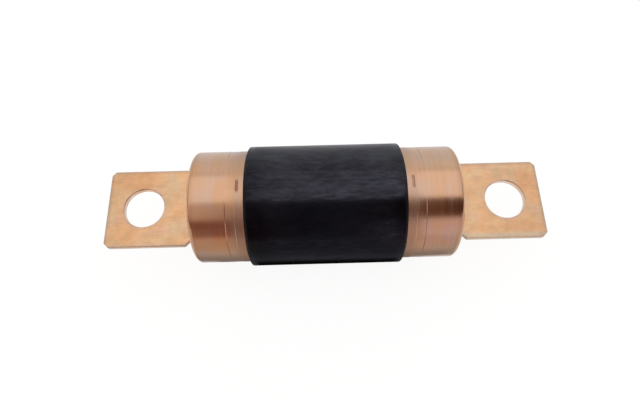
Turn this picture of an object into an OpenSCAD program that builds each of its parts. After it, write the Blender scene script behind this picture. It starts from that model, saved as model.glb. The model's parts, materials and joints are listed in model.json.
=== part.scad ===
// Bolted-blade cartridge fuse, in millimetres.
// The fuse's axis is X, its blades lie in the XY plane, and the origin is its centre.

/* [Tube] */
// Length of the black tube that shows between the ferrules
tube_len = 27.2; // [22:0.1:40]
// How far the tube stands proud of the ferrules
shoulder_h = 0.8; // [0.4:0.05:1.5]
// Radius that rounds the tube where it meets each ferrule
shoulder_r = 0.4; // [0.1:0.05:0.6]
// Thickness of the tube's wall where the ferrules sit on it
spigot_wall = 2.45; // [1.8:0.05:2.9]
// Bevel that leads each ferrule onto the tube's turned-down end
lead_in = 0.4; // [0.1:0.1:0.8]

/* [Ferrules] */
// Outer diameter of the ferrules
ferrule_d = 20.6; // [19.6:0.1:23]
// Length of each ferrule
ferrule_len = 9.8; // [8.5:0.1:12]
// Thickness of the sheet that the ferrules are drawn from
ferrule_wall = 0.8; // [0.5:0.05:1.2]
// Radius round the closed end of each ferrule
ferrule_corner_r = 0.8; // [0.1:0.05:0.9]
// Bevel round the open edge of each ferrule
mouth_bevel = 0.2; // [0.05:0.05:0.4]
// Depth of the ring that is rolled in to grip the tube
crimp_depth = 0.03; // [0.03:0.01:0.3]
// Width of that ring at the ferrule's surface
crimp_w = 1.7; // [1:0.1:2.2]
// Width of the slope on each side of the ring
crimp_slope = 0.1; // [0.1:0.05:0.4]
// Distance from the ferrule's open edge to the middle of the ring
crimp_from_edge = 2.5; // [2:0.1:3.5]
// Marks struck into each ferrule to stake it to the tube, the first at its top
stakes = 2; // [1:1:6]
// Depth of the stake marks
stake_depth = 0.3; // [0.1:0.05:0.5]
// Width of each mark along the axis
stake_w = 0.5; // [0.3:0.1:0.8]
// Length of each mark round the ferrule
stake_len = 2.4; // [1:0.1:3]
// Distance from the ferrule's open edge to the middle of the marks
stake_from_edge = 1.25; // [0.8:0.05:2.5]
// How much wider than its mark each stake's bump inside the ferrule is, on either side
stake_spread = 0.15; // [0.05:0.05:0.3]

/* [Blades] */
// Length of blade that stands out of each ferrule
blade_out = 17.2; // [15:0.1:25]
// Width of the blades
blade_w = 15; // [13:0.1:16.5]
// Thickness of the blades
blade_t = 1.2; // [0.8:0.1:3]
// Size of the cut across each of a blade's two outer corners
blade_corner = 0.9; // [0.4:0.1:3]
// Diameter of the bolt holes
hole_d = 7.4; // [5:0.1:9]
// Distance from a blade's outer end to the middle of its bolt hole
hole_inset = 6.8; // [5:0.1:9]
// Bevel along the blades' edges and round their holes
edge_break = 0.15; // [0.05:0.05:0.4]
// Length of narrow neck between the ferrule and the blade's sloping shoulders
neck_out = 1; // [0.4:0.1:3]
// Distance between the edges of the tang, which goes through the end plate, and the bore
tang_clear = 1; // [0.6:0.1:2]
// Length of tang inside the end plate, where the elements are welded on
tang_in = 4; // [3:0.1:6]

/* [End plates] */
// Thickness of the end plates
plate_t = 2; // [1.2:0.1:3]
// Bevel round the end plates
plate_bevel = 0.3; // [0.1:0.1:0.5]
// Thickness of the gaskets under the end plates
gasket_t = 0.8; // [0.3:0.1:1.5]
// Diameter of the hole that the sand is filled through
fill_d = 2.6; // [1.6:0.1:3.2]
// Bevel on the inner end of the plug that closes it
plug_bevel = 0.3; // [0.1:0.1:0.5]

/* [Elements] */
// Thickness of the silver strips
strip_t = 0.2; // [0.1:0.05:0.4]
// Necks side by side in each row
necks = 4; // [3:1:5]
// Distance between the perforations of a row
perf_spacing = 1.75; // [1.5:0.05:2.1]
// Diameter of the perforations
perf_d = 1.3; // [0.8:0.05:1.4]
// Distance between the rows of perforations
row_spacing = 3.6; // [2:0.1:6]
// Height of a strip's middle above the tang that it is welded to
strip_lift = 1.8; // [0.8:0.1:3]
// Angle at which the strips bend up from the tangs
bend_angle = 45; // [30:5:60]
// Distance between a tang's tip and the first bend of a strip
bend_clear = 0.4; // [0.2:0.1:1]
// Distance between the ends of the strips and the end plates
strip_clear = 0.5; // [0.2:0.1:1]

/* [Clearances] */
// Gap all round between parts that slide together
fit_gap = 0.05; // [0.02:0.01:0.1]

/* [Hidden] */
$fn = 128;

// How far a cut runs past the face that it opens
over = 1;

// Radii
ferrule_r = ferrule_d / 2;
ferrule_in_r = ferrule_r - ferrule_wall;
tube_r = ferrule_r + shoulder_h;
spigot_r = ferrule_in_r - fit_gap;
bore_r = spigot_r - spigot_wall;
plate_r = ferrule_in_r - fit_gap;
hole_r = hole_d / 2;

// The tang, and the fill hole midway between its face and the bore
tang_w = 2 * (bore_r - tang_clear);
fill_off = (blade_t / 2 + bore_r) / 2;

// Places along the axis, from the middle to the right end
shoulder_x = tube_len / 2;
ferrule_x = shoulder_x + ferrule_len;
plate_out_x = ferrule_x - ferrule_wall;
plate_in_x = plate_out_x - plate_t;
spigot_x = plate_in_x - gasket_t;
tang_x = plate_in_x - tang_in;
neck_x = ferrule_x + neck_out;
blade_x = ferrule_x + blade_out;
hole_x = blade_x - hole_inset;

// The rolled ring, and the stake marks, which are the edge of a disc that meets the ferrule's
// surface over stake_len
crimp_x = shoulder_x + crimp_from_edge;
stake_x = shoulder_x + stake_from_edge;
stake_rise = stake_depth - ferrule_r + sqrt(pow(ferrule_r, 2) - pow(stake_len / 2, 2));
stake_r = (pow(stake_len / 2, 2) + pow(stake_rise, 2)) / (2 * stake_rise);

// The strips
strip_w = necks * perf_spacing;
weld_z = blade_t / 2;
flat_z = weld_z + strip_lift;
strip_x = plate_in_x - strip_clear;
rise_x = tang_x - bend_clear;
flat_x = rise_x - strip_lift / tan(bend_angle);
rows = floor((2 * flat_x - row_spacing) / row_spacing) + 1;

copper = "#c98f66";
black = "#1c1c20";

// Turns a section, given as radius and place along the axis, about the X axis
module turned() rotate([0, 90, 0]) rotate_extrude() children();

// Copies a right-hand part to the left end
module left() mirror([1, 0, 0]) children();

// The mark that the rolled ring leaves in a wall, thick being the metal it is pressed through
module crimp_mark(thick) {
    edge = crimp_w / 2;
    bottom = edge - crimp_slope;
    translate([ferrule_r - thick, crimp_x]) polygon([
        [over, -edge], [0, -edge], [-crimp_depth, -bottom],
        [-crimp_depth, bottom], [0, edge], [over, edge],
    ]);
}

// The discs whose edges strike the stake marks, thick being the metal they are pressed through
module stake_marks(thick, wider) {
    for (i = [0:stakes - 1]) rotate([i * 360 / stakes, 0, 0])
        translate([stake_x, 0, ferrule_r - stake_depth + stake_r]) rotate([0, 90, 0])
            cylinder(h = stake_w + 2 * wider, r = stake_r + thick, center = true);
}

// Section of the tube's black part, rounded at both shoulders
module body_section() {
    inner_r = tube_r - shoulder_r;
    inner_x = shoulder_x - shoulder_r;
    translate([0, -shoulder_x]) square([inner_r, tube_len]);
    translate([0, -inner_x]) square([tube_r, 2 * inner_x]);
    for (side = [-1, 1]) translate([inner_r, side * inner_x]) circle(r = shoulder_r);
}

// Section of the turned-down ends that the ferrules sit on
module spigot_section() {
    polygon([
        [0, -spigot_x], [spigot_r - lead_in, -spigot_x], [spigot_r, -spigot_x + lead_in],
        [spigot_r, spigot_x - lead_in], [spigot_r - lead_in, spigot_x], [0, spigot_x],
    ]);
}

module tube() {
    color(black) difference() {
        turned() difference() {
            union() {
                body_section();
                difference() {
                    spigot_section();
                    crimp_mark(ferrule_wall + fit_gap);
                    mirror([0, 1]) crimp_mark(ferrule_wall + fit_gap);
                }
            }
            translate([-over, -spigot_x - over])
                square([bore_r + over, 2 * (spigot_x + over)]);
        }
        for (side = [0, 1]) mirror([side, 0, 0])
            stake_marks(ferrule_wall + fit_gap, stake_spread + fit_gap);
    }
}

// Section of a drawn cup with a rounded closed end and the rolled ring
module ferrule_section() {
    difference() {
        union() {
            polygon([
                [0, shoulder_x], [ferrule_r - mouth_bevel, shoulder_x],
                [ferrule_r, shoulder_x + mouth_bevel], [ferrule_r, ferrule_x - ferrule_corner_r],
                [0, ferrule_x - ferrule_corner_r],
            ]);
            translate([0, shoulder_x]) square([ferrule_r - ferrule_corner_r, ferrule_len]);
            translate([ferrule_r - ferrule_corner_r, ferrule_x - ferrule_corner_r])
                circle(r = ferrule_corner_r);
        }
        difference() {
            translate([-over, shoulder_x - over])
                square([ferrule_in_r + over, plate_out_x - shoulder_x + over]);
            crimp_mark(ferrule_wall);
        }
        crimp_mark(0);
    }
}

module ferrule() {
    color(copper) difference() {
        union() {
            turned() ferrule_section();
            intersection() {
                stake_marks(ferrule_wall, stake_spread);
                turned() translate([0, shoulder_x])
                    square([ferrule_in_r + ferrule_wall / 2, ferrule_len / 2]);
            }
        }
        tang_room(fit_gap, plate_out_x - over, ferrule_x + over);
        stake_marks(0, 0);
    }
}

module ferrule_left() { left() ferrule(); }
module ferrule_right() { ferrule(); }

// Plan of a blade: a plate with cut corners and a hole, and a narrower tang at its inner end
module blade_plan() {
    y = blade_w / 2;
    tang_y = tang_w / 2;
    shoulder = y - tang_y;
    difference() {
        polygon([
            [tang_x, -tang_y], [neck_x, -tang_y], [neck_x + shoulder, -y],
            [blade_x - blade_corner, -y], [blade_x, -y + blade_corner],
            [blade_x, y - blade_corner], [blade_x - blade_corner, y],
            [neck_x + shoulder, y], [neck_x, tang_y], [tang_x, tang_y],
        ]);
        translate([hole_x, 0]) circle(r = hole_r);
    }
}

// Outline of a bar's section with a bevel at each corner
module bevelled(width, thick) {
    x = width / 2;
    y = thick / 2;
    polygon([
        [-x, -y + edge_break], [-x + edge_break, -y], [x - edge_break, -y], [x, -y + edge_break],
        [x, y - edge_break], [x - edge_break, y], [-x + edge_break, y], [-x, y - edge_break],
    ]);
}

module blade() {
    color(copper) difference() {
        intersection() {
            linear_extrude(blade_t, center = true) blade_plan();
            rotate([90, 0, 90]) linear_extrude(blade_x + over) bevelled(blade_w, blade_t);
            rotate([90, 0, 0]) linear_extrude(blade_w + over, center = true)
                bevelled(2 * blade_x, blade_t);
        }
        for (side = [0, 1]) mirror([0, 0, side])
            translate([hole_x, 0, blade_t / 2 - edge_break])
                cylinder(h = edge_break + over, r1 = hole_r, r2 = hole_r + edge_break + over);
    }
}

module blade_left() { left() blade(); }
module blade_right() { blade(); }

// Room for a tang, gap being the clearance all round it
module tang_room(gap, from_x, to_x) {
    translate([from_x, -tang_w / 2 - gap, -blade_t / 2 - gap])
        cube([to_x - from_x, tang_w + 2 * gap, blade_t + 2 * gap]);
}

module plate_section() {
    polygon([
        [0, plate_in_x], [plate_r - plate_bevel, plate_in_x], [plate_r, plate_in_x + plate_bevel],
        [plate_r, plate_out_x - plate_bevel], [plate_r - plate_bevel, plate_out_x], [0, plate_out_x],
    ]);
}

module end_plate() {
    color(copper) difference() {
        turned() plate_section();
        tang_room(fit_gap, plate_in_x - over, plate_out_x + over);
    }
}

module end_plate_left() { left() end_plate(); }

module end_plate_right() {
    color(copper) difference() {
        end_plate();
        translate([plate_in_x - over, 0, fill_off])
            rotate([0, 90, 0]) cylinder(h = plate_t + 2 * over, d = fill_d);
    }
}

// A pressed plug, flush with both faces of the end plate
module fill_plug() {
    r = fill_d / 2;
    color("silver") translate([0, 0, fill_off]) turned() polygon([
        [0, plate_in_x], [r - plug_bevel, plate_in_x], [r, plate_in_x + plug_bevel],
        [r, plate_out_x], [0, plate_out_x],
    ]);
}

module gasket() {
    color("#8a5a3c") turned() translate([bore_r, spigot_x]) square([plate_r - bore_r, gasket_t]);
}

module gasket_left() { left() gasket(); }
module gasket_right() { gasket(); }

// One face of a bent strip, seen from the side, off being its distance from the lower face
function strip_face(off, end_x) =
    let (shift = off * tan(bend_angle / 2))
    [
        [-end_x, weld_z + off], [-rise_x - shift, weld_z + off], [-flat_x - shift, flat_z + off],
        [flat_x + shift, flat_z + off], [rise_x + shift, weld_z + off], [end_x, weld_z + off],
    ];

function reversed(points) = [for (i = [len(points) - 1:-1:0]) points[i]];

// The perforated strip, made larger all round by grow
module strip(grow = 0) {
    outline = concat(
        strip_face(-grow, strip_x + grow),
        reversed(strip_face(strip_t + grow, strip_x + grow))
    );
    difference() {
        rotate([90, 0, 0]) linear_extrude(strip_w + 2 * grow, center = true) polygon(outline);
        for (row = [0:rows - 1], place = [0:necks])
            translate([
                (row - (rows - 1) / 2) * row_spacing,
                (place - necks / 2) * perf_spacing,
                flat_z - over / 2
            ])
                cylinder(h = strip_t + over, r = perf_d / 2 - grow, $fn = 32);
    }
}

module element_upper() { color("silver") strip(); }
module element_lower() { color("silver") mirror([0, 0, 1]) strip(); }

module sand_filler() {
    color("wheat") difference() {
        turned() translate([0, -plate_in_x]) square([bore_r - fit_gap, 2 * plate_in_x]);
        for (side = [0, 1]) {
            mirror([side, 0, 0]) tang_room(fit_gap, tang_x - fit_gap, plate_in_x + over);
            mirror([0, 0, side]) strip(fit_gap);
        }
    }
}

tube();
ferrule_left();
ferrule_right();
blade_left();
blade_right();
end_plate_left();
end_plate_right();
fill_plug();
gasket_left();
gasket_right();
element_upper();
element_lower();
sand_filler();
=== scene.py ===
import json
import math

import bpy
from mathutils import Matrix, Vector


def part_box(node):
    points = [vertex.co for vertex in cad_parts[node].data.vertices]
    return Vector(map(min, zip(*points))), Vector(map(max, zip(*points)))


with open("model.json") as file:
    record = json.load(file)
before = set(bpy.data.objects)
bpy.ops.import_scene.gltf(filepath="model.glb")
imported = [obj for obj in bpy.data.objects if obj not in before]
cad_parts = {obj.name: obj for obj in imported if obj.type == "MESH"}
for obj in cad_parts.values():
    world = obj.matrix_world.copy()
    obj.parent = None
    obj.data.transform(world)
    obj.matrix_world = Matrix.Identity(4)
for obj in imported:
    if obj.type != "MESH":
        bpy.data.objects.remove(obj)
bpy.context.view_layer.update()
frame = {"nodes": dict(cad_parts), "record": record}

MM = 0.001
NODES = frame["nodes"]
WHITE = (1.0, 1.0, 1.0)

# Sizes of the part, in millimetres
BLADE_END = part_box("blade_right")[1].x / MM
BLADE_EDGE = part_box("blade_right")[1].y / MM
HOLES = frame["record"]["mounts"][0]["dims"]
HOLE_X = HOLES["spacing_x_mm"] / 2
HOLE_R = HOLES["hole_r_mm"]
FERRULE_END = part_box("ferrule_right")[1].x / MM
FERRULE_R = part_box("ferrule_right")[1].z / MM
TUBE_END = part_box("ferrule_right")[0].x / MM

# Camera: picture in pixels, sensor in millimetres, angles in degrees, and the rest in metres
IMAGE_W = 640
FOCAL_PX = 465.2
SENSOR_W = 36.0
VIEW_LEAN = 19.94
VIEW_YAW = -0.23
VIEW_ROLL = -1.49
EYE = Vector((-1.27, -29.98, 82.39)) * MM
CLIP_FROM = 0.001
CLIP_TO = 50.0

# A noise is its cells for each millimetre along X, Y and Z, its detail, roughness and fourth coordinate.
# A span is where a ramp starts and ends. A ramp is its span, and then its values at both ends.
# Most values of a noise lie in NOISE_SPAN. Over HALVES, in X, the left half gives way to the right.
NOISE_SPAN = (0.3, 0.7)
PATCH_SPAN = (0.36, 0.66)
HALVES = (-1.0, 1.0)

# Blades: base colour, linear, and what its red, green and blue are multiplied by in places
COPPER_BLADE = (0.725, 0.46, 0.275)
BLADE_ORANGE = (1.05, 0.95, 0.85)
BLADE_YELLOW = (0.97, 1.04, 1.08)
BLADE_ROSY = (1.06, 0.96, 1.10)
# Pale, bluish tint on the edges: a painted highlight
BLADE_EDGE_HIGHLIGHT = (0.95, 1.06, 1.30)
BLADE_STAINED = (0.98, 0.84, 0.74)
# Pale, bluish tint along the right blade's front edge: a painted reflection
BLADE_FRONT_REFLECTION = (0.91, 1.07, 1.25)

# Blades: noises, and ramps over them
BLADE_PATCH_NOISE = ((0.2, 0.24, 0.24), 3.0, 0.55, 1.7)
BLADE_ROSY_NOISE = ((0.3, 0.5, 0.5), 2.0, 0.5, 7.9)
BLADE_CLOUD_NOISE = ((0.55, 0.9, 0.9), 4.0, 0.6, 4.4)
BLADE_STREAK_NOISE = ((0.25, 3.2, 3.2), 3.0, 0.6, 3.1)
BLADE_GRAIN_NOISE = ((2.5, 3.5, 3.5), 3.0, 0.6, 2.2)
BLADE_ROSY_RAMP = (0.54, 0.72, 0.0, 0.8)
BLADE_CLOUD_RAMP = (*NOISE_SPAN, 0.89, 1.08)
BLADE_STREAK_RAMP = (*NOISE_SPAN, 0.96, 1.04)
BLADE_ROUGH_RAMP = (*NOISE_SPAN, 0.33, 0.42)
BLADE_BUMP_MM = 0.004

# Blades: spans and ramps over millimetres from the edges, the front, the rear, the hole and the end
# Where the painted highlight on the edges fades out
EDGE_HIGHLIGHT_SPAN = (0.05, 0.6)
DARKER_EDGE_RAMP = (0.1, 0.8, 0.93, 1.0)
# Painted highlight on the bevels
BEVEL_HIGHLIGHT_RAMP = (0.08, 0.18, 1.3, 1.0)
# Where the painted reflection along the front edge fades out
FRONT_REFLECTION_RAMP = (0.4, 1.4, 1.0, 0.0)
DARKER_REAR_RAMP = (0.1, 0.9, 0.86, 1.0)
# Painted highlight on the hole's wall
BORE_HIGHLIGHT_RAMP = (0.02, 0.1, 1.15, 1.0)
# Painted shade: darker towards the blade's outer end
OUTWARD_SHADE_RAMP = (0.0, 15.0, 0.96, 1.04)

# Blades: orange stains, each with its place and half width along X and Y in millimetres, and its strength
STAINS = ((-36.0, 5.2, 7.5, 3.0, 1.0), (38.2, 3.6, 2.4, 3.2, 1.0), (36.0, -5.4, 5.5, 1.7, 0.8))
STAIN_SPAN = (0.35, 1.0)
STAIN_STREAK_RAMP = (0.35, 0.6, 0.55, 1.0)

# Ferrules: base colour, linear, and what its red, green and blue are multiplied by in places
COPPER_FERRULE = (0.66, 0.412, 0.288)
FERRULE_YELLOW = (1.04, 0.97, 0.85)
FERRULE_PINK = (0.97, 1.03, 1.12)
FERRULE_RIM = (0.90, 0.84, 0.74)
# Dark tint in the stake marks: painted shade
FERRULE_STRUCK_SHADE = (0.60, 0.50, 0.42)

# Ferrules: noises, and ramps over them
FERRULE_PATCH_NOISE = ((0.3, 0.16, 0.16), 3.0, 0.55, 2.6)
FERRULE_RING_NOISE = ((2.6, 0.05, 0.05), 4.0, 0.65, 3.1)
FERRULE_WAVE_NOISE = ((0.25, 0.12, 0.12), 1.0, 0.4, 5.3)
FERRULE_RING_RAMP = (*NOISE_SPAN, 0.95, 1.04)
FERRULE_ROUGH_RAMP = (*NOISE_SPAN, 0.20, 0.26)
FERRULE_RING_BUMP_MM = 0.002
FERRULE_WAVE_BUMP_MM = 0.02

# Ferrules: ramps over millimetres from the closed end and the mouth, with a painted highlight on the
# end's corner and painted shade at the mouth
RIM_RAMP = (0.6, 1.5, 1.0, 0.0)
# Painted highlight on the corner of the closed end
FERRULE_CORNER_HIGHLIGHT_RAMP = (0.2, 0.5, 1.3, 1.0)
# Painted shade near the mouth, next to the tube
SHADED_MOUTH_RAMP = (1.4, 2.6, 0.96, 1.0)
SCUFFED_MOUTH_RAMP = (0.8, 3.6, 0.12, 0.0)

# Ferrules: painted shade in the stake marks, by depth under the wall and distance from the end, and
# fainter on the right
STRUCK_DEPTH_SPAN = (0.06, 0.2)
STRUCK_END_SPAN = (1.0, 1.5)
STRUCK_HALVES_RAMP = (*HALVES, 1.0, 0.6)

# Ferrules: darker at the left one's mouth, by X, and how that ends towards the front, by Y
DARKER_LEFT_MOUTH_RAMP = (-18.5, -15.5, 1.0, 0.93)
DARKER_LEFT_FRONT_RAMP = (-1.0, 1.5, 1.0, 0.0)

# Tube: base colour and dust, linear, and the tint and refraction of the gloss
TUBE_BLACK = (0.0016, 0.0016, 0.0028)
TUBE_DUST = tuple(2.0 * c for c in TUBE_BLACK)
TUBE_SHEEN = (0.80, 0.785, 1.0)
TUBE_IOR = 1.58

# Tube: noises, and spans and ramps over them
TUBE_DUST_NOISE = ((0.35, 0.5, 0.5), 4.0, 0.6, 2.0)
TUBE_STREAK_NOISE = ((0.45, 1.6, 1.6), 4.0, 0.6, 4.0)
TUBE_PATCH_NOISE = ((0.16, 0.3, 0.3), 2.0, 0.5, 9.2)
TUBE_RIPPLE_NOISE = ((0.5, 0.9, 0.9), 2.0, 0.5, 6.1)
TUBE_DUST_SPAN = (0.35, 0.75)
TUBE_STREAK_RAMP = (0.34, 0.66, 0.58, 1.12)
TUBE_PATCH_RAMP = (0.35, 0.65, 0.8, 1.05)
TUBE_ROUGH_RAMP = (*NOISE_SPAN, 0.24, 0.16)
TUBE_STREAK_BUMP_MM = 0.012
TUBE_RIPPLE_BUMP_MM = 0.02

# Tube: gloss, weaker towards the left end and with painted shade at both ends next to the ferrules, and
# roughness of the ends, by X and by the distance from the ferrules
WEAKER_GLOSS_LEFT_RAMP = (-12.6, -7.5, 0.66, 1.0)
# Painted shade in the gloss at both ends, next to the ferrules
SHADED_ENDS_RAMP = (0.4, 1.6, 0.8, 1.0)
ROUGH_ENDS_RAMP = (0.1, 0.7, 0.4, 0.0)

# Tube: painted shade in the gloss on the front corners, by X on the left and the right and by Y, and the
# gloss that it leaves
CORNER_LEFT_RAMP = (-11.5, -8.0, 0.75, 0.0)
CORNER_RIGHT_SPAN = (10.2, 12.4)
CORNER_FRONT_RAMP = (-3.6, -2.4, 1.0, 0.0)
CORNER_LOW_RAMP = (-10.0, -7.0, 0.75, 1.0)
CORNER_SHADE_RAMP = (0.0, 1.0, 1.0, 0.4)

# Inner pieces: colour, metallic, roughness, noise cells, depth of the grain in millimetres, and nodes
INNER = {
    "plate_copper": (
        (0.66, 0.40, 0.27), 1.0, 0.3, (4.0, 0.4, 0.4), 0.003, ("end_plate_left", "end_plate_right"),
    ),
    "plug_steel": ((0.55, 0.55, 0.56), 1.0, 0.35, (3.0, 3.0, 3.0), 0.003, ("fill_plug",)),
    "fibre": ((0.33, 0.17, 0.09), 0.0, 0.7, (2.0, 2.0, 2.0), 0.02, ("gasket_left", "gasket_right")),
    "silver": ((0.85, 0.84, 0.81), 1.0, 0.28, (0.3, 4.0, 0.3), 0.002, ("element_upper", "element_lower")),
    "quartz_sand": ((0.75, 0.68, 0.55), 0.0, 0.85, (4.0, 4.0, 4.0), 0.08, ("sand_filler",)),
}

# Inner pieces: the rest of their noise, and how the grain changes colour and roughness
INNER_NOISE = (3.0, 0.6, 1.0)
INNER_DARKER = 0.82
INNER_SMOOTHER = 0.05
INNER_ROUGHER = 0.08

# Floor: height and side in metres, colour, and what the camera sees
FLOOR_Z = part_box("tube")[0].z
FLOOR_SIDE = 6.0
FLOOR_COLOUR = (0.86, 0.86, 0.86)
FLOOR_WHITE = (1.085, 1.085, 1.085)
FLOOR_WHITE_SHARE = 0.85

# Floor: levels that mirror rays from the ferrules, the tube and the blades meet in front of the fuse
MIRRORED_LEFT = (0.59, 0.47, 0.37)
MIRRORED_RIGHT = (0.62, 0.53, 0.53)
MIRRORED_NEAR = (0.56, 0.56, 0.56)
MIRRORED_TUBE = (0.19, 0.19, 0.21)
MIRRORED_BLADE = (0.76, 0.80, 0.84)

# Floor: levels that they meet behind it
MIRRORED_BACK = (0.79, 0.87, 0.94)
MIRRORED_TUBE_BACK = (0.58, 0.575, 0.60)

# Floor: spans and ramps along the fuse, by the X where a mirror ray left it
BESIDE_TUBE_SPAN = (TUBE_END - 1.8, TUBE_END - 0.2)
LEFT_TO_RIGHT_SPAN = (-8.0, 8.0)
BRIGHT_RIGHT_RAMP = (TUBE_END, TUBE_END + 4.0, 1.25, 1.0)
TUBE_BACK_LEFT_RAMP = (-13.0, -4.0, 0.74, 1.0)
TUBE_BACK_RIGHT_RAMP = (4.0, 12.0, 1.0, 0.84)

# Floor: spans and ramps across the fuse, by Y
FAR_TO_NEAR_SPAN = (-45.0, -28.0)
SHADED_FERRULE_RAMP = (-30.0, -12.0, 1.0, 0.45)
SHADED_TUBE_RAMP = (-22.0, -15.0, 1.0, 0.02)
FRONT_TO_BACK_SPAN = (-12.0, 12.0)

# Floor: where the blades' level starts and is full, on the left and the right, and shifts near the fuse
LEFT_BLADE_FROM = FERRULE_END + 2.0
LEFT_BLADE_FULL = FERRULE_END + 4.0
RIGHT_BLADE_FULL = FERRULE_END + 2.0
RIGHT_BLADE_NEAR_SPAN = (-32.0, -18.0)
RIGHT_BLADE_FROM_RAMP = (0.0, 1.0, FERRULE_END + 0.5, FERRULE_END - 3.5)
BLADE_SHIFT_RAMP = (-14.0, -11.5, 0.0, 7.0)

# Softbox: above the fuse, in metres, with its front and back edges in degrees from straight up
SOFTBOX_HEIGHT = 0.8
SOFTBOX_FRONT_DEG = 11.0
SOFTBOX_BACK_DEG = 45.0
SOFTBOX_W = 2.4
SOFTBOX_RADIANCE = 0.64

# Room: levels behind and above the fuse, and tints on them
WORLD_TOP = (0.40, 0.40, 0.40)
WORLD_BACK = (0.75, 0.79, 0.81)
WORLD_BACK_LOW = (0.84, 0.80, 0.72)
WORLD_BACK_MIDDLE = (0.78, 0.78, 0.80)
TINT_LEFT = (1.05, 1.03, 0.96)
TINT_RIGHT = (1.0, 1.09, 1.14)
TINT_RIGHT_LOW = (0.97, 1.22, 1.58)
TINT_RIGHT_INNER = (1.0, 0.97, 0.74)

# Room: levels in front of the fuse
WORLD_FRONT_LEFT = (0.71, 0.58, 0.50)
WORLD_LOW_LEFT = (0.72, 0.48, 0.36)
WORLD_FRONT_RIGHT = (0.78, 0.67, 0.69)
WORLD_FRONT_MIDDLE = (0.17, 0.17, 0.19)

# Room: levels in the dark strip in front, and the level that the left blade mirrors instead
WORLD_DARK_LEFT = (0.32, 0.135, 0.10)
WORLD_DARK_RIGHT = (0.245, 0.13, 0.073)
WORLD_DARK_MIDDLE = (0.085, 0.085, 0.095)
WORLD_DARK_FAR_LEFT = (0.16, 0.055, 0.015)
WORLD_DARK_FAR_RIGHT = (0.055, 0.012, 0.005)
WORLD_BLADE = (0.84, 0.76, 0.68)

# Room: spans by side, which is a direction's x. The tube mirrors those up to TUBE_SIDES from TUBE_MIDDLE.
TUBE_MIDDLE = 0.0135
TUBE_SIDES = (0.14, 0.165)
MIDDLE_SIDES = (-0.1, 0.1)
LEFT_BLADE_SIDES = (-0.35, -0.30)
LEFT_TINT_SIDES = (-0.27, -0.21)
LEFT_RIM_SIDES = (-0.27, -0.22)
LEFT_FERRULE_SIDES = (-0.20, -0.13)
LEFT_TUBE_SIDES = (-0.12, -0.02)
RIGHT_TUBE_SIDES = (0.1, 0.2)
RIGHT_FERRULE_SIDES = (0.15, 0.18)
RIGHT_INNER_SIDES = (0.17, 0.21)
RIGHT_MOUTH_SIDES = (0.175, 0.215)
RIGHT_RIM_SIDES = (0.21, 0.28)
RIGHT_EDGE_SIDES = (0.215, 0.26)
RIGHT_TINT_SIDES = (0.225, 0.265)
RIGHT_BLADE_SIDES = (0.31, 0.37)

# Room: spans by lean, which is a direction's angle from straight up in degrees, towards the camera
BACK_LOW_LEANS = (-90.0, -62.0)
BACK_TINT_LEANS = (-60.0, -46.0)
BACK_TOP_LEANS = (-56.0, -38.0)
FRONT_LOW_LEANS = (50.0, 80.0)
FRONT_BLADE_LEANS = (60.0, 70.0)

# Room: leans where the dark strip starts and ends, at both ends of a span of sides, and how softly
DARK_FROM = (46.5, 11.0)
DARK_FROM_SOFT = (6.5, 5.0)
DARK_TO = (84.0, 52.0)
DARK_TO_SOFT = 5.0

# Room: lean where its front starts, what the right takes off it, and how softly it starts
FRONT_FROM = (11.0, 9.8)
FRONT_FROM_LESS = (0.0, 2.9)
FRONT_FROM_SOFT = 5.0

# Room: how much darker the strip is on the tube's left, and how much lighter the front at the right mouth
DARK_MIDDLE_SCALES = (0.6, 1.0)
FRONT_RIGHT_SCALES = (1.8, 1.0)


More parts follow.
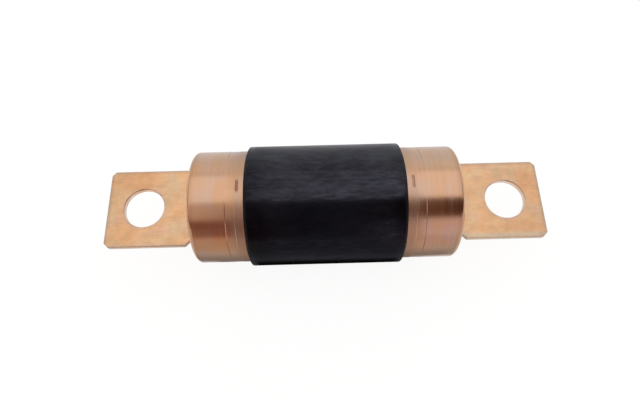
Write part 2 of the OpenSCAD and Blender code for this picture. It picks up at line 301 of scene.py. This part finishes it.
class Tree:
    """A node tree with short calls for adding and joining nodes."""

    def __init__(self, owner):
        owner.use_nodes = True
        self.tree = owner.node_tree
        self.tree.nodes.clear()

    def fill(self, socket, value):
        """Links a socket to another, or sets its value."""
        if isinstance(value, bpy.types.NodeSocket):
            self.tree.links.new(value, socket)
        elif socket.type == "RGBA":
            socket.default_value = (*value, 1.0)
        else:
            socket.default_value = value

    def add(self, kind, inputs=None, **settings):
        """A new node, with its settings, and its inputs by name or number."""
        node = self.tree.nodes.new(kind)
        for name, value in settings.items():
            setattr(node, name, value)
        for name, value in (inputs or {}).items():
            self.fill(node.inputs[name], value)
        return node

    def math(self, operation, *values):
        return self.add("ShaderNodeMath", dict(enumerate(values)), operation=operation).outputs[0]

    def product(self, first, *others):
        """Product of two or more values."""
        for value in others:
            first = self.math("MULTIPLY", first, value)
        return first

    def length(self, a, b):
        """Length of the vector (a, b)."""
        return self.math("SQRT", self.math("ADD", self.math("POWER", a, 2.0), self.math("POWER", b, 2.0)))

    def ramp(self, value, low, high, to_low=0.0, to_high=1.0, smooth=True):
        """Goes from to_low to to_high while the value goes from low to high."""
        kind = "SMOOTHSTEP" if smooth else "LINEAR"
        inputs = {"Value": value, "From Min": low, "From Max": high, "To Min": to_low, "To Max": to_high}
        return self.add("ShaderNodeMapRange", inputs, interpolation_type=kind).outputs["Result"]

    def mix(self, factor, a, b):
        """Colour a where the factor is 0, and colour b where it is 1."""
        node = self.add("ShaderNodeMix", data_type="RGBA")
        sockets = {socket.identifier: socket for socket in (*node.inputs, *node.outputs)}
        self.fill(sockets["Factor_Float"], factor)
        self.fill(sockets["A_Color"], a)
        self.fill(sockets["B_Color"], b)
        return sockets["Result_Color"]

    def scaled(self, colour, value):
        """A colour times a value."""
        inputs = {0: colour, "Scale": value}
        return self.add("ShaderNodeVectorMath", inputs, operation="SCALE").outputs["Vector"]

    def filtered(self, colour, tint):
        """A colour times another one."""
        inputs = {0: colour, 1: tint}
        return self.add("ShaderNodeVectorMath", inputs, operation="MULTIPLY").outputs["Vector"]

    def place(self, scale):
        """Object coordinates in millimetres, stretched by scale along X, Y and Z."""
        where = self.add("ShaderNodeTexCoord").outputs["Object"]
        per_mm = tuple(s / MM for s in scale)
        return self.add("ShaderNodeMapping", {"Vector": where, "Scale": per_mm}).outputs["Vector"]

    def millimetres(self):
        """Object coordinates in millimetres, as three values."""
        parts = self.add("ShaderNodeSeparateXYZ", {"Vector": self.place((1.0, 1.0, 1.0))})
        return parts.outputs["X"], parts.outputs["Y"], parts.outputs["Z"]

    def noise(self, scale, detail, rough, fourth):
        inputs = {"Vector": self.place(scale), "W": fourth, "Scale": 1.0}
        inputs.update({"Detail": detail, "Roughness": rough})
        return self.add("ShaderNodeTexNoise", inputs, noise_dimensions="4D").outputs["Fac"]

    def bump(self, height, distance_mm, normal=None):
        inputs = {"Height": height, "Distance": distance_mm * MM, "Strength": 1.0}
        if normal is not None:
            inputs["Normal"] = normal
        return self.add("ShaderNodeBump", inputs).outputs["Normal"]

    def seen(self, path):
        """1 for rays that come from the camera, straight or through glass, and 0 for the others."""
        return self.math("MAXIMUM", path["Is Camera Ray"], path["Is Transmission Ray"])


def new_material(name, metallic):
    """A new material, its node tree, and the inputs of its shader."""
    material = bpy.data.materials.new(name)
    tree = Tree(material)
    shader = tree.add("ShaderNodeBsdfPrincipled", {"Metallic": metallic})
    tree.add("ShaderNodeOutputMaterial", {"Surface": shader.outputs[0]})
    return material, tree, shader.inputs


def put(material, *nodes):
    for name in nodes:
        data = NODES[name].data
        data.materials.clear()
        data.materials.append(material)


def tinted(colour, tint):
    return tuple(c * t for c, t in zip(colour, tint))


def blade_copper():
    """Rolled sheet: orange and yellow patches, streaks along it and stains; darker near the edges and the
    rear, with painted highlights on the edges, bevels and hole, a painted reflection along the right
    blade's front edge, and painted shade towards the ends.
    """
    material, tree, surface = new_material("blade_copper", metallic=1.0)
    x, y, _ = tree.millimetres()
    out = tree.math("ABSOLUTE", x)
    to_end = tree.math("SUBTRACT", BLADE_END, out)
    to_side = tree.math("SUBTRACT", BLADE_EDGE, tree.math("ABSOLUTE", y))
    to_front = tree.math("ADD", y, BLADE_EDGE)
    to_rear = tree.math("MINIMUM", to_end, tree.math("SUBTRACT", BLADE_EDGE, y))
    from_hole = tree.math("SUBTRACT", tree.length(tree.math("SUBTRACT", out, HOLE_X), y), HOLE_R)
    to_edge = tree.math("MINIMUM", tree.math("MINIMUM", to_end, to_side), from_hole)
    streak = tree.noise(*BLADE_STREAK_NOISE)

    patch = tree.ramp(tree.noise(*BLADE_PATCH_NOISE), *PATCH_SPAN)
    tone = tree.mix(patch, tinted(COPPER_BLADE, BLADE_ORANGE), tinted(COPPER_BLADE, BLADE_YELLOW))
    rosy = tree.ramp(tree.noise(*BLADE_ROSY_NOISE), *BLADE_ROSY_RAMP)
    tone = tree.mix(rosy, tone, tinted(COPPER_BLADE, BLADE_ROSY))
    # Painted highlight: a pale, bluish tint on the edges, bevels and the hole's rim
    off_edge = tree.ramp(to_edge, *EDGE_HIGHLIGHT_SPAN)
    tone = tree.mix(off_edge, tinted(COPPER_BLADE, BLADE_EDGE_HIGHLIGHT), tone)
    streaked = tree.ramp(streak, *STAIN_STREAK_RAMP)
    for stain_x, stain_y, half_x, half_y, strength in STAINS:
        off_x = tree.math("DIVIDE", tree.math("SUBTRACT", x, stain_x), half_x)
        off_y = tree.math("DIVIDE", tree.math("SUBTRACT", y, stain_y), half_y)
        inside = tree.ramp(tree.length(off_x, off_y), *STAIN_SPAN, strength, 0.0)
        stained = tree.product(inside, streaked)
        tone = tree.mix(stained, tone, tinted(COPPER_BLADE, BLADE_STAINED))
    # Painted reflection: a pale, bluish tint along the right blade's front edge
    front_reflection = tree.product(tree.ramp(to_front, *FRONT_REFLECTION_RAMP), tree.ramp(x, *HALVES))
    tone = tree.mix(front_reflection, tone, tinted(COPPER_BLADE, BLADE_FRONT_REFLECTION))

    cloud = tree.ramp(tree.noise(*BLADE_CLOUD_NOISE), *BLADE_CLOUD_RAMP)
    clouded = tree.product(cloud, tree.ramp(streak, *BLADE_STREAK_RAMP))
    # Darker near the edges and the rear, with painted highlights on the bevels and the hole's wall
    darkening_and_highlight = tree.product(
        tree.ramp(to_edge, *DARKER_EDGE_RAMP),
        tree.ramp(to_rear, *DARKER_REAR_RAMP),
        tree.ramp(to_edge, *BEVEL_HIGHLIGHT_RAMP),
        tree.ramp(from_hole, *BORE_HIGHLIGHT_RAMP),
    )
    # Painted shade, darker towards the blade's outer end
    outward_shade = tree.ramp(to_end, *OUTWARD_SHADE_RAMP, smooth=False)
    tree.fill(surface["Base Color"], tree.scaled(tone, tree.product(clouded, darkening_and_highlight, outward_shade)))

    tree.fill(surface["Roughness"], tree.ramp(streak, *BLADE_ROUGH_RAMP))
    grain = tree.bump(tree.noise(*BLADE_GRAIN_NOISE), BLADE_BUMP_MM)
    tree.fill(surface["Normal"], tree.bump(streak, BLADE_BUMP_MM, grain))
    return material


def ferrule_copper():
    """Drawn cup: pink and yellow patches, fine marks round the axis, a dark rim with a painted highlight
    on the end's corner, painted shade at the mouth and in the stake marks, and darker at the left one's
    mouth.
    """
    material, tree, surface = new_material("ferrule_copper", metallic=1.0)
    x, y, z = tree.millimetres()
    out = tree.math("ABSOLUTE", x)
    to_end = tree.math("SUBTRACT", FERRULE_END, out)
    to_mouth = tree.math("SUBTRACT", out, TUBE_END)
    under = tree.math("SUBTRACT", FERRULE_R, tree.length(y, z))
    ring = tree.noise(*FERRULE_RING_NOISE)

    patch = tree.ramp(tree.noise(*FERRULE_PATCH_NOISE), *PATCH_SPAN)
    tone = tree.mix(patch, tinted(COPPER_FERRULE, FERRULE_YELLOW), tinted(COPPER_FERRULE, FERRULE_PINK))
    tone = tree.mix(tree.ramp(to_end, *RIM_RAMP), tone, tinted(COPPER_FERRULE, FERRULE_RIM))
    # Painted shade in the stake marks, where the surface lies under the wall
    struck_shade = tree.product(
        tree.ramp(under, *STRUCK_DEPTH_SPAN),
        tree.ramp(to_end, *STRUCK_END_SPAN),
        tree.ramp(x, *STRUCK_HALVES_RAMP),
    )
    tone = tree.mix(struck_shade, tone, tinted(COPPER_FERRULE, FERRULE_STRUCK_SHADE))

    left_mouth_tone = tree.math("MAXIMUM", tree.ramp(x, *DARKER_LEFT_MOUTH_RAMP), tree.ramp(x, *HALVES))
    left_mouth_tone = tree.math("MAXIMUM", left_mouth_tone, tree.ramp(y, *DARKER_LEFT_FRONT_RAMP))
    # Painted shade near the mouth, next to the tube
    mouth = tree.ramp(to_mouth, *SHADED_MOUTH_RAMP)
    # Painted shade at the mouth, darker at the left one's mouth, and a painted highlight on the end's
    # corner
    darkening_and_highlight = tree.product(mouth, left_mouth_tone, tree.ramp(to_end, *FERRULE_CORNER_HIGHLIGHT_RAMP))
    shade = tree.product(tree.ramp(ring, *FERRULE_RING_RAMP), darkening_and_highlight)
    tree.fill(surface["Base Color"], tree.scaled(tone, shade))

    drawn = tree.ramp(ring, *FERRULE_ROUGH_RAMP)
    scuffed = tree.ramp(to_mouth, *SCUFFED_MOUTH_RAMP)
    tree.fill(surface["Roughness"], tree.math("ADD", drawn, scuffed))
    marks = tree.bump(ring, FERRULE_RING_BUMP_MM)
    wave = tree.noise(*FERRULE_WAVE_NOISE)
    tree.fill(surface["Normal"], tree.bump(wave, FERRULE_WAVE_BUMP_MM, marks))
    return material


def black_plastic():
    """Moulded black plastic: bluish gloss in streaks along the tube, weaker towards the left end, with
    painted shade in the gloss at both ends and on the front corners.
    """
    material, tree, surface = new_material("black_plastic", metallic=0.0)
    x, y, _ = tree.millimetres()
    to_end = tree.math("SUBTRACT", TUBE_END, tree.math("ABSOLUTE", x))
    streak = tree.noise(*TUBE_STREAK_NOISE)
    dust = tree.ramp(tree.noise(*TUBE_DUST_NOISE), *TUBE_DUST_SPAN)
    tree.fill(surface["IOR"], TUBE_IOR)
    tree.fill(surface["Base Color"], tree.mix(dust, TUBE_BLACK, TUBE_DUST))

    # Painted shade in the gloss on the front corners at both ends
    ends = tree.math("MAXIMUM", tree.ramp(x, *CORNER_LEFT_RAMP), tree.ramp(x, *CORNER_RIGHT_SPAN))
    corners = tree.product(ends, tree.ramp(y, *CORNER_FRONT_RAMP), tree.ramp(y, *CORNER_LOW_RAMP))
    # Gloss, with painted shade at both ends and on the front corners
    gloss_and_shade = tree.product(
        tree.ramp(streak, *TUBE_STREAK_RAMP),
        tree.ramp(tree.noise(*TUBE_PATCH_NOISE), *TUBE_PATCH_RAMP),
        tree.ramp(x, *WEAKER_GLOSS_LEFT_RAMP),
        tree.ramp(to_end, *SHADED_ENDS_RAMP),
        tree.ramp(corners, *CORNER_SHADE_RAMP, smooth=False),
    )
    tree.fill(surface["Specular Tint"], tree.scaled(TUBE_SHEEN, gloss_and_shade))

    streaked = tree.ramp(streak, *TUBE_ROUGH_RAMP)
    tree.fill(surface["Roughness"], tree.math("ADD", streaked, tree.ramp(to_end, *ROUGH_ENDS_RAMP)))
    marks = tree.bump(streak, TUBE_STREAK_BUMP_MM)
    ripple = tree.noise(*TUBE_RIPPLE_NOISE)
    tree.fill(surface["Normal"], tree.bump(ripple, TUBE_RIPPLE_BUMP_MM, marks))
    return material


def inner_finish(name, colour, metallic, rough, cells, depth):
    """One colour, with a fine grain that is darker and smoother in places."""
    material, tree, surface = new_material(name, metallic)
    grain = tree.noise(cells, *INNER_NOISE)
    dark = tuple(INNER_DARKER * c for c in colour)
    tree.fill(surface["Base Color"], tree.mix(tree.ramp(grain, *NOISE_SPAN), dark, colour))
    roughness = tree.ramp(grain, *NOISE_SPAN, rough - INNER_SMOOTHER, rough + INNER_ROUGHER)
    tree.fill(surface["Roughness"], roughness)
    tree.fill(surface["Normal"], tree.bump(grain, depth))
    return material


def dress():
    put(black_plastic(), "tube")
    put(ferrule_copper(), "ferrule_left", "ferrule_right")
    put(blade_copper(), "blade_left", "blade_right")
    for name, (*finish, nodes) in INNER.items():
        put(inner_finish(name, *finish), *nodes)


def make_camera():
    data = bpy.data.cameras.new("photo_camera")
    data.sensor_width = SENSOR_W
    data.lens = FOCAL_PX / IMAGE_W * SENSOR_W
    data.clip_start = CLIP_FROM
    data.clip_end = CLIP_TO
    camera = bpy.data.objects.new("photo_camera", data)
    turn = (
        Matrix.Rotation(math.radians(VIEW_LEAN), 4, "X")
        @ Matrix.Rotation(math.radians(VIEW_YAW), 4, "Y")
        @ Matrix.Rotation(math.radians(VIEW_ROLL), 4, "Z")
    )
    camera.matrix_world = Matrix.Translation(EYE) @ turn
    bpy.context.scene.collection.objects.link(camera)
    bpy.context.scene.camera = camera


def mirrored_floor(tree):
    """What mirror rays meet on the floor.

    Once such a ray has left the fuse, it goes on moving away sideways from EYE. So a place's X is
    turned into the X where the ray left the fuse, which tells what piece it came from."""
    x, y, _ = tree.millimetres()
    spread = tree.math("ADD", 1.0, tree.math("DIVIDE", tree.math("ABSOLUTE", y), EYE.z / MM))
    along = tree.math("DIVIDE", tree.math("SUBTRACT", x, EYE.x / MM), spread)
    along = tree.math("ADD", along, EYE.x / MM)
    out = tree.math("ABSOLUTE", along)
    beside = tree.ramp(out, *BESIDE_TUBE_SPAN)

    right = tree.scaled(MIRRORED_RIGHT, tree.ramp(along, *BRIGHT_RIGHT_RAMP))
    far = tree.mix(tree.ramp(along, *LEFT_TO_RIGHT_SPAN), MIRRORED_LEFT, right)
    ferrules = tree.mix(tree.ramp(y, *FAR_TO_NEAR_SPAN), far, MIRRORED_NEAR)
    ferrules = tree.scaled(ferrules, tree.ramp(y, *SHADED_FERRULE_RAMP))
    tube = tree.scaled(MIRRORED_TUBE, tree.ramp(y, *SHADED_TUBE_RAMP))
    ahead = tree.mix(beside, tube, ferrules)

    right_from = tree.ramp(tree.ramp(y, *RIGHT_BLADE_NEAR_SPAN), *RIGHT_BLADE_FROM_RAMP)
    blade_from = tree.ramp(along, *HALVES, LEFT_BLADE_FROM, right_from)
    blade_full = tree.ramp(along, *HALVES, LEFT_BLADE_FULL, RIGHT_BLADE_FULL)
    shifted = tree.math("ADD", out, tree.ramp(y, *BLADE_SHIFT_RAMP))
    ahead = tree.mix(tree.ramp(shifted, blade_from, blade_full), ahead, MIRRORED_BLADE)

    dimmed = tree.product(tree.ramp(along, *TUBE_BACK_LEFT_RAMP), tree.ramp(along, *TUBE_BACK_RIGHT_RAMP))
    behind = tree.mix(beside, tree.scaled(MIRRORED_TUBE_BACK, dimmed), MIRRORED_BACK)
    return tree.mix(tree.ramp(y, *FRONT_TO_BACK_SPAN), ahead, behind)


def make_floor():
    """A pale floor, for the camera white with the fuse's soft shadow. Mirror rays see other levels."""
    half = FLOOR_SIDE / 2
    mesh = bpy.data.meshes.new("floor")
    corners = [(x, y, FLOOR_Z) for x, y in ((-half, -half), (half, -half), (half, half), (-half, half))]
    mesh.from_pydata(corners, [], [(0, 1, 2, 3)])
    floor = bpy.data.objects.new("floor", mesh)
    bpy.context.scene.collection.objects.link(floor)
    material = bpy.data.materials.new("floor_white")
    tree = Tree(material)
    matt = tree.add("ShaderNodeBsdfDiffuse", {"Color": FLOOR_COLOUR})
    path = tree.add("ShaderNodeLightPath").outputs
    seen = tree.seen(path)
    colour = tree.mix(seen, mirrored_floor(tree), FLOOR_WHITE)
    glow = tree.add("ShaderNodeEmission", {"Color": colour, "Strength": 1.0})
    share = tree.math("MAXIMUM", tree.product(seen, FLOOR_WHITE_SHARE), path["Is Glossy Ray"])
    both = tree.add("ShaderNodeMixShader", {0: share, 1: matt.outputs[0], 2: glow.outputs[0]})
    tree.add("ShaderNodeOutputMaterial", {"Surface": both.outputs[0]})
    mesh.materials.append(material)


def make_softbox():
    front = -SOFTBOX_HEIGHT * math.tan(math.radians(SOFTBOX_FRONT_DEG))
    back = SOFTBOX_HEIGHT * math.tan(math.radians(SOFTBOX_BACK_DEG))
    data = bpy.data.lights.new("softbox", "AREA")
    data.shape = "RECTANGLE"
    data.size = SOFTBOX_W
    data.size_y = back - front
    data.energy = SOFTBOX_RADIANCE * data.size * data.size_y * math.pi
    light = bpy.data.objects.new("softbox", data)
    light.location = (0.0, (front + back) / 2, SOFTBOX_HEIGHT)
    light.visible_camera = False
    bpy.context.scene.collection.objects.link(light)


def room_behind(tree, side, lean, beside):
    """The ceiling and the brighter wall behind the fuse, with tints on the left and the right."""
    low = tree.mix(beside, WORLD_BACK_MIDDLE, WORLD_BACK_LOW)
    wall = tree.mix(tree.ramp(lean, *BACK_LOW_LEANS), WORLD_BACK, low)
    room = tree.mix(tree.ramp(lean, *BACK_TOP_LEANS), wall, WORLD_TOP)
    below = tree.ramp(lean, *BACK_TINT_LEANS, 1.0, 0.0)
    inner = tree.mix(below, WHITE, TINT_RIGHT_INNER)
    outer = tree.mix(below, TINT_RIGHT, TINT_RIGHT_LOW)
    tint = tree.mix(tree.ramp(side, *LEFT_TINT_SIDES), TINT_LEFT, WHITE)
    tint = tree.mix(tree.ramp(side, *RIGHT_INNER_SIDES), tint, inner)
    tint = tree.mix(tree.ramp(side, *RIGHT_TINT_SIDES), tint, outer)
    tint = tree.mix(tree.ramp(side, *RIGHT_BLADE_SIDES), tint, WHITE)
    return tree.filtered(room, tint)


def room_in_front(tree, side, lean, beside):
    """A dark strip in front of the fuse, with lighter levels below it and, on the left, above it."""
    dark_from = tree.ramp(side, *LEFT_FERRULE_SIDES, *DARK_FROM)
    soft_from = tree.ramp(side, *LEFT_FERRULE_SIDES, *DARK_FROM_SOFT)
    dark_to = tree.ramp(side, *RIGHT_FERRULE_SIDES, *DARK_TO)
    past_from = tree.math("DIVIDE", tree.math("SUBTRACT", lean, dark_from), soft_from)
    past_to = tree.math("SUBTRACT", lean, dark_to)
    not_past = tree.ramp(past_to, -DARK_TO_SOFT, DARK_TO_SOFT, 1.0, 0.0)
    dark = tree.product(tree.ramp(past_from, -1.0, 1.0), not_past)

    to_right = tree.ramp(side, *MIDDLE_SIDES)
    dark_left = tree.mix(tree.ramp(side, *LEFT_RIM_SIDES), WORLD_DARK_FAR_LEFT, WORLD_DARK_LEFT)
    dark_right = tree.mix(tree.ramp(side, *RIGHT_RIM_SIDES), WORLD_DARK_RIGHT, WORLD_DARK_FAR_RIGHT)
    dark_middle = tree.scaled(WORLD_DARK_MIDDLE, tree.ramp(side, *LEFT_TUBE_SIDES, *DARK_MIDDLE_SCALES))
    dark_colour = tree.mix(beside, dark_middle, tree.mix(to_right, dark_left, dark_right))
    far_left = tree.ramp(side, *LEFT_BLADE_SIDES, 1.0, 0.0)
    blade = tree.product(far_left, tree.ramp(lean, *FRONT_BLADE_LEANS))
    dark_colour = tree.mix(blade, dark_colour, WORLD_BLADE)

    left = tree.mix(tree.ramp(lean, *FRONT_LOW_LEANS), WORLD_FRONT_LEFT, WORLD_LOW_LEFT)
    right = tree.scaled(WORLD_FRONT_RIGHT, tree.ramp(side, *RIGHT_MOUTH_SIDES, *FRONT_RIGHT_SCALES))
    light_colour = tree.mix(beside, WORLD_FRONT_MIDDLE, tree.mix(to_right, left, right))
    return tree.mix(dark, light_colour, dark_colour)


def make_world():
    """White for the camera. The fuse and the floor see a ceiling, a brighter wall behind, and a front
    with a dark strip."""
    world = bpy.data.worlds.new("studio")
    bpy.context.scene.world = world
    tree = Tree(world)
    way = tree.add("ShaderNodeTexCoord").outputs["Generated"]
    xyz = tree.add("ShaderNodeSeparateXYZ", {"Vector": way}).outputs
    side = xyz["X"]
    forward = tree.product(xyz["Y"], -1.0)
    lean = tree.math("DEGREES", tree.math("ARCTAN2", forward, xyz["Z"]))
    off = tree.math("ABSOLUTE", tree.math("SUBTRACT", side, TUBE_MIDDLE))
    beside = tree.ramp(off, *TUBE_SIDES)

    front_from = tree.ramp(side, *RIGHT_TUBE_SIDES, *FRONT_FROM)
    front_from = tree.math("SUBTRACT", front_from, tree.ramp(side, *RIGHT_EDGE_SIDES, *FRONT_FROM_LESS))
    past = tree.ramp(tree.math("SUBTRACT", lean, front_from), -FRONT_FROM_SOFT, FRONT_FROM_SOFT)
    behind = room_behind(tree, side, lean, beside)
    in_front = room_in_front(tree, side, lean, beside)
    surroundings = tree.mix(past, behind, in_front)

    path = tree.add("ShaderNodeLightPath").outputs
    colour = tree.mix(tree.seen(path), surroundings, WHITE)
    background = tree.add("ShaderNodeBackground", {"Color": colour, "Strength": 1.0})
    tree.add("ShaderNodeOutputWorld", {"Surface": background.outputs[0]})


dress()
make_camera()
make_floor()
make_softbox()
make_world()
bpy.context.scene.view_settings.view_transform = "Standard"
